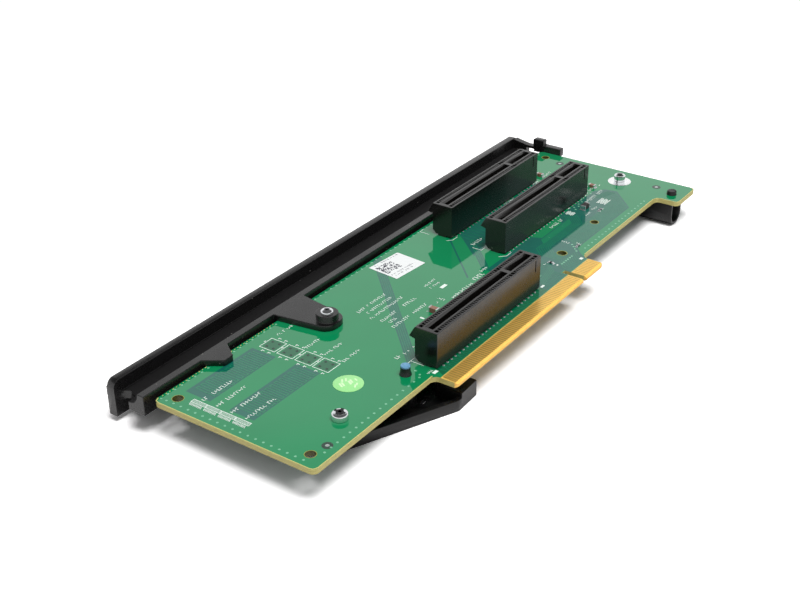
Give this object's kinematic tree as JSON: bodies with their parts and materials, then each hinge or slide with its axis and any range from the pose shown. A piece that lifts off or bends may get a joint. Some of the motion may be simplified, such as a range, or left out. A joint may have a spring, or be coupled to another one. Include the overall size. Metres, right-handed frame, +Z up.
{
  "type": "pcie riser card",
  "caption": "Riser board with a card-edge tongue, keyed slot connectors on its face, a black handle rail along one side, and a guide bracket and sleeve below.",
  "frame": {"origin": "middle of the footprint, on the surface that the card stands on", "axes": "+X along the board away from the handle rail's scooped end, +Y from the card-edge tongue towards the handle rail, +Z up from the component side"},
  "size_m": [0.2108, 0.0778, 0.0216],
  "materials": {
    "solder_mask": "glossy green solder mask over woven glass laminate",
    "gold": "hard gold over nickel, fine scratches",
    "connector_plastic": "satin black glass-filled moulding",
    "spring_metal": "plated copper alloy springs",
    "rail_plastic": "fine spark texture",
    "guide_plastic": "fine spark texture",
    "screw_metal": "bright plated steel",
    "nut_metal": "zinc plated",
    "tin": "tinned copper",
    "peg_plastic": "plain",
    "blue_plastic": "satin blue",
    "capacitor_ceramic": "fired brown",
    "resistor_ceramic": "black glaze",
    "ferrite": "dark grey",
    "label_paper": "white, printed with a small square code and bars",
    "sticker_paper": "light green with pale marks",
    "board_laminate": "bare woven glass laminate",
    "printing_ink": "white screen-printed ink"
  },
  "bodies": {
    "root": {"circuit_board": "solder_mask", "edge_contacts_component_side": "gold", "edge_contacts_solder_side": "gold", "handle_rail": "rail_plastic", "guide_bracket": "guide_plastic", "guide_sleeve": "guide_plastic", "rail_screw": "screw_metal", "rail_nut": "nut_metal", "bracket_screw": "screw_metal", "locating_peg": "peg_plastic", "locating_peg_cap": "blue_plastic", "standoff": "screw_metal", "capacitor_bodies": "capacitor_ceramic", "capacitor_terminals": "tin", "resistor_bodies": "resistor_ceramic", "resistor_terminals": "tin", "ferrite_bead_body": "ferrite", "ferrite_bead_terminals": "tin", "part_label": "label_paper", "slot_housing_1": "connector_plastic", "slot_contacts_1": "spring_metal", "slot_housing_2": "connector_plastic", "slot_contacts_2": "spring_metal", "slot_housing_3": "connector_plastic", "slot_contacts_3": "spring_metal"}
  },
  "joints": []
}
